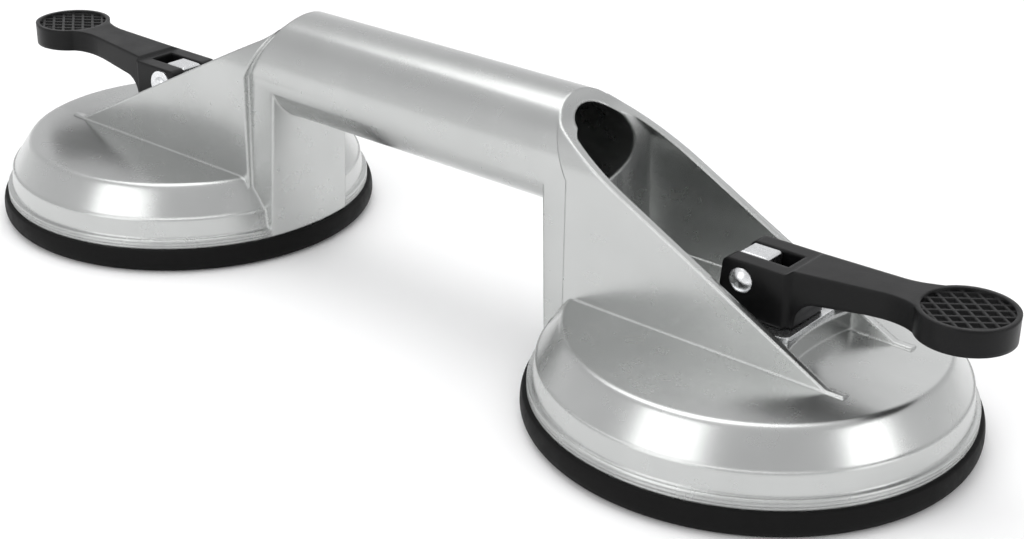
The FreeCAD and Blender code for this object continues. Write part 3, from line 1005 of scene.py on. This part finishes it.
@dataclass(frozen=True)
class SuctionDisc:
    """Rubber disc of one cup: a thick floor ring with a locating lip, and the drawn-up diaphragm.

    Attributes:
        side: the end of the handle it belongs to.
        seat_height: height of the face that the housing's rim stands on.
        foot_tuck: how far the floor contact lies inside the widest point.
        seal_width: width of the flat floor ring.
        lip_width: width of the locating lip.
        lip_inset: distance from the disc's edge to the lip.
        web_thickness: thickness of the diaphragm.
        hub_radius: radius of the flat hub that the steel insert is bonded to.
        stroke: rise of the hub when the lever is locked.
        groove_count: fine grooves in the floor ring.
        groove_depth: depth of those grooves.
        groove_share: half a groove's width as a share of their pitch.
        bulge: heights of the widest band, as shares of the seat's height.
        seat_tuck: how far the seat's edge lies inside the widest point, as a share of foot_tuck.
        roundings: rounding of each corner from the foot to the inside of the lip.
        web_steps: steps along the diaphragm's slope.
    """

    side: Side
    seat_height: float = 0.0072
    foot_tuck: float = 0.0017
    seal_width: float = 0.0085
    lip_width: float = 0.0022
    lip_inset: float = 0.0061
    web_thickness: float = 0.0046
    hub_radius: float = 0.0175
    stroke: float = 0.0035
    groove_count: int = 3
    groove_depth: float = 0.0004
    groove_share: float = 0.12
    bulge: tuple[float, float] = (0.28, 0.72)
    seat_tuck: float = 0.35
    roundings: tuple[float, ...] = (0.0014, 0.0016, 0.0016, 0.0005, 0.0, 0.0004, 0.0004, 0.0)
    web_steps: int = 14

    def build(self, finishes: FinishBook) -> list[bpy.types.Object]:
        """Make the ring and the diaphragm.

        Args:
            finishes: the lifter's finishes.

        Returns:
            The ring and the diaphragm.
        """
        node = f"{self.side.word}_suction_pad"
        low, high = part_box(node)
        centre = Vector(((low[0] + high[0]) / 2, (low[1] + high[1]) / 2, low[2]))
        radius = (high[1] - low[1]) / 2
        ring = self.ring(centre, radius, high[2] - low[2])
        diaphragm = self.diaphragm(centre, radius)
        for piece in (ring, diaphragm):
            finishes.dress(piece, Surface.RUBBER)
            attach(piece, "frame")
        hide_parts(node)
        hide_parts(node)
        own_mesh(diaphragm)
        LOG.info("built %s and %s", ring.name, diaphragm.name)
        return [ring, diaphragm]

    def ring(self, centre: Vector, radius: float, lip_top: float) -> bpy.types.Object:
        """Make the outer ring with its bulged edge, lip and fine floor grooves.

        Args:
            centre: middle of the ring's underside.
            radius: outer radius.
            lip_top: height of the lip.

        Returns:
            The ring.
        """
        foot = radius - self.foot_tuck
        seal = foot - self.seal_width
        lip_outer = radius - self.lip_inset
        lip_inner = lip_outer - self.lip_width
        profile: Profile = [(seal, self.web_thickness), (seal, 0.0)]
        radii = [0.0, 0.0]
        pitch = self.seal_width / (self.groove_count + 1)
        for index in range(1, self.groove_count + 1):
            middle = seal + index * pitch
            half = pitch * self.groove_share
            profile += [(middle - half, 0.0), (middle, self.groove_depth), (middle + half, 0.0)]
            radii += [0.0, 0.0, 0.0]
        bulge_low, bulge_high = (self.seat_height * share for share in self.bulge)
        profile += [(foot, 0.0), (radius, bulge_low), (radius, bulge_high),
                    (radius - self.foot_tuck * self.seat_tuck, self.seat_height), (lip_outer, self.seat_height),
                    (lip_outer, lip_top), (lip_inner, lip_top), (lip_inner, self.web_thickness)]
        return turned(f"{self.side.word}_disc_ring", rounded(profile, [*radii, *self.roundings]), centre)

    def diaphragm(self, centre: Vector, radius: float) -> bpy.types.Object:
        """Make the inner web that rises from the ring to the flat hub.

        Args:
            centre: middle of the ring's underside.
            radius: outer radius of the ring.

        Returns:
            The diaphragm.
        """
        seal = radius - self.foot_tuck - self.seal_width
        hub = self.hub_radius
        roof = self.stroke + self.web_thickness
        lower: Profile = [(0.0, self.stroke), (hub / 2, self.stroke)]
        upper: Profile = [(hub / 2, roof), (0.0, roof)]
        slope: Profile = []
        for index in range(self.web_steps + 1):
            t = index / self.web_steps
            rise = self.stroke * (1 - t)
            slope.append((hub + (seal - hub) * t, rise))
        top = [(spot[0], spot[1] + self.web_thickness) for spot in reversed(slope)]
        return turned(f"{self.side.word}_disc_diaphragm", lower + slope + top + upper, centre)


@dataclass(frozen=True)
class ReturnSpring:
    """Compression spring that pushes the rubber disc back down.

    Attributes:
        side: the end of the handle it belongs to.
        wire_radius: radius of the wire.
        turns: number of turns.
        section_steps: steps round the wire.
        turn_steps: steps along one turn.
    """

    side: Side
    wire_radius: float = 0.0009
    turns: float = 3.0
    section_steps: int = 14
    turn_steps: int = 48

    def build(self, finishes: FinishBook) -> bpy.types.Object:
        """Make the coil from one swept section.

        Args:
            finishes: the lifter's finishes.

        Returns:
            The spring.
        """
        node = f"{self.side.word}_return_spring"
        low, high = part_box(node)
        centre = Vector(((low[0] + high[0]) / 2, (low[1] + high[1]) / 2, 0))
        coil_radius = (high[1] - low[1]) / 2 - self.wire_radius
        bottom = low[2] + self.wire_radius
        height = high[2] - self.wire_radius - bottom
        around, along = self.section_steps, int(self.turn_steps * self.turns)
        corners: list[Vector] = []
        for step in range(along + 1):
            angle = 2 * math.pi * self.turns * step / along
            outward = Vector((math.cos(angle), math.sin(angle), 0))
            middle = centre + outward * coil_radius + Vector((0, 0, bottom + height * step / along))
            for turn in range(around):
                roll = 2 * math.pi * turn / around
                corners.append(middle + outward * self.wire_radius * math.cos(roll)
                               + Vector((0, 0, self.wire_radius * math.sin(roll))))
        faces: list[tuple[int, ...]] = []
        for step in range(along):
            for turn in range(around):
                after = (turn + 1) % around
                first, second = step * around, (step + 1) * around
                faces.append((first + turn, second + turn, second + after, first + after))
        faces.append(tuple(range(around)))
        faces.append(tuple(reversed(range(along * around, (along + 1) * around))))
        piece = mesh_piece(f"{self.side.word}_coil", corners, faces, 60.0)
        finishes.dress(piece, Surface.SPRING)
        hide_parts(node)
        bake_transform(piece)
        LOG.info("built %s", piece.name)
        return piece


@dataclass(frozen=True)
class CamLock:
    """Lever, cross pin, stud and the small metal parts of one cup.

    Attributes:
        side: the end of the handle it belongs to.
    """

    side: Side

    def dress(self, frame: dict, finishes: FinishBook) -> None:
        """Give each solid of the lock its finish.

        Args:
            frame: the loaded frame.
            finishes: the lifter's finishes.
        """
        surfaces = {
            "cam_lever": Surface.LEVER,
            "pivot_pin": Surface.ZINC,
            "pin_collar": Surface.ZINC,
            "draw_stud": Surface.ZINC,
            "stud_nut": Surface.ZINC,
            "pad_insert": Surface.ZINC,
            "spring_washer": Surface.ZINC,
            "cam_plate": Surface.ZINC,
            "stud_bush": Surface.BRONZE,
        }
        for name, surface in surfaces.items():
            node = f"{self.side.word}_{name}"
            finishes.dress(frame["nodes"][node], surface)
            LOG.info("dressed %s", node)


# ---------------------------------------------------------------- studio


@dataclass(frozen=True)
class SoftBox:
    """Square soft lamp that points at the lifter.

    Attributes:
        name: the lamp's name.
        place: where it hangs.
        power: its power, in watts.
        size: width of its square, in metres.
    """

    name: str
    place: tuple[float, float, float]
    power: float
    size: float

    def build(self) -> None:
        """Make the lamp and turn it to the lifter."""
        lamp = bpy.data.lights.new(self.name, "AREA")
        lamp.energy = self.power
        lamp.size = self.size
        box = bpy.data.objects.new(self.name, lamp)
        place = Vector(self.place)
        box.location = place
        box.rotation_euler = (-place).to_track_quat("-Z", "Y").to_euler()
        bpy.context.scene.collection.objects.link(box)


@dataclass(frozen=True)
class Studio:
    """Pale floor, soft lamps and a graded surround.

    Attributes:
        floor_size: width of the floor sheet, in metres.
        floor_drop: how far the sheet lies below the rubber, in metres.
        floor_tone: grey level of the floor sheet.
        boxes: the soft lamps.
        sky: grey levels of the surround, from the horizon at 0 to straight up at 1.
        sky_strength: strength of the surround.
    """

    floor_size: float = 12.0
    floor_drop: float = 0.0001
    floor_tone: float = 0.86
    boxes: tuple[SoftBox, ...] = (
        SoftBox("overhead_box", (-0.25, 0.15, 1.1), 4.5, 0.9),
        SoftBox("front_box", (-0.12, -1.12, 0.64), 3.3, 0.75),
        SoftBox("end_box", (1.21, 0.13, 0.48), 1.7, 0.5),
        SoftBox("back_box", (-0.20, 1.32, 0.72), 0.5, 0.6),
    )
    sky: tuple[tuple[float, float], ...] = (
        (0.0, 0.95), (0.15, 0.84), (0.36, 0.77), (0.46, 0.74), (0.6, 0.68), (0.85, 0.82), (1.0, 0.88),
    )
    sky_strength: float = 1.0

    def build(self) -> None:
        """Make the floor, the lamps and the surround."""
        self.floor()
        for box in self.boxes:
            box.build()
        self.surround()
        LOG.info("built the studio")

    def floor(self) -> None:
        """Make the pale floor sheet just under the rubber discs."""
        half = self.floor_size / 2
        corners = [Vector((-half, -half, 0)), Vector((half, -half, 0)), Vector((half, half, 0)),
                   Vector((-half, half, 0))]
        sheet = mesh_piece("floor_sheet", corners, [(0, 1, 2, 3)])
        sheet.location.z = -self.floor_drop
        graph = ShaderGraph("floor_paper")
        graph.constants(Roughness=0.9, Specular_IOR_Level=0.1)
        tone = self.floor_tone
        paper = graph.tint(graph.noise(3.0, 2.0), (tone, tone, tone), (tone * 1.01,) * 3)
        light = graph.add("LightPath")
        seen = graph.add("Math", operation="MAXIMUM")
        graph.join(light.outputs["Is Camera Ray"], seen.inputs[0])
        graph.join(light.outputs["Is Glossy Ray"], seen.inputs[1])
        clear = graph.add("Math", operation="MAXIMUM")
        graph.join(seen.outputs[0], clear.inputs[0])
        graph.join(light.outputs["Is Transmission Ray"], clear.inputs[1])
        mix = graph.add("Mix", data_type="RGBA")
        graph.join(clear.outputs[0], mix.inputs["Factor"])
        graph.join(paper, mix.inputs["A"])
        mix.inputs["B"].default_value = (1, 1, 1, 1)
        graph.join(mix.outputs["Result"], graph.shader.inputs["Base Color"])
        sheet.data.materials.append(graph.material)

    def surround(self) -> None:
        """Make a surround that is pale at the horizon, greyer above it and brighter overhead."""
        world = bpy.data.worlds.new("surround")
        bpy.context.scene.world = world
        world.use_nodes = True
        nodes, links = world.node_tree.nodes, world.node_tree.links
        place = nodes.new("ShaderNodeTexCoord")
        split = nodes.new("ShaderNodeSeparateXYZ")
        ramp = nodes.new("ShaderNodeValToRGB")
        stops = ramp.color_ramp.elements
        (low, horizon), *between, (high, overhead) = self.sky
        stops[0].position = low
        stops[0].color = (horizon, horizon, horizon, 1)
        stops[1].position = high
        stops[1].color = (overhead, overhead, overhead, 1)
        for position, level in between:
            stop = stops.new(position)
            stop.color = (level, level, level * 1.01, 1)
        links.new(place.outputs["Generated"], split.inputs["Vector"])
        links.new(split.outputs["Z"], ramp.inputs["Fac"])
        background = nodes["Background"]
        background.inputs["Strength"].default_value = self.sky_strength
        links.new(ramp.outputs["Color"], background.inputs["Color"])


@dataclass(frozen=True)
class ViewingCamera:
    """Camera at a low three-quarter view over the right cup.

    Attributes:
        place: where the camera stands.
        aim: the point that it looks at.
        roll: turn about the line of sight, in degrees.
        lens: focal length, in millimetres.
        sensor: width of the sensor, in millimetres.
        nearest: distance from which things are seen, in metres.
    """

    place: tuple[float, float, float] = (0.3213, -0.3529, 0.2306)
    aim: tuple[float, float, float] = (0.0319, -0.0036, 0.0187)
    roll: float = 0.833
    lens: float = 62.54
    sensor: float = 36.0
    nearest: float = 0.01

    def build(self) -> None:
        """Make the camera and set it as the scene's own."""
        data = bpy.data.cameras.new("viewing_camera")
        data.lens = self.lens
        data.sensor_width = self.sensor
        data.clip_start = self.nearest
        camera = bpy.data.objects.new("viewing_camera", data)
        sight = Vector(self.aim) - Vector(self.place)
        turn = sight.to_track_quat("-Z", "Y").to_matrix() @ Matrix.Rotation(math.radians(self.roll), 3, "Z")
        camera.matrix_world = Matrix.Translation(Vector(self.place)) @ turn.to_4x4()
        bpy.context.scene.collection.objects.link(camera)
        bpy.context.scene.camera = camera
        LOG.info("placed the camera")


def main() -> None:
    """Build the lifter's looks in order and report each piece."""
    logging.basicConfig(level=logging.INFO, format="%(name)s: %(message)s")
    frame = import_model()
    finishes = FinishBook.build()
    FrameCasting().build(finishes)
    for side in Side:
        SuctionDisc(side).build(finishes)
        ReturnSpring(side).build(finishes)
        CamLock(side).dress(frame, finishes)
    Studio().build()
    ViewingCamera().build()
    bpy.context.scene.view_settings.view_transform = "Standard"


if __name__ == "__main__":
    main()
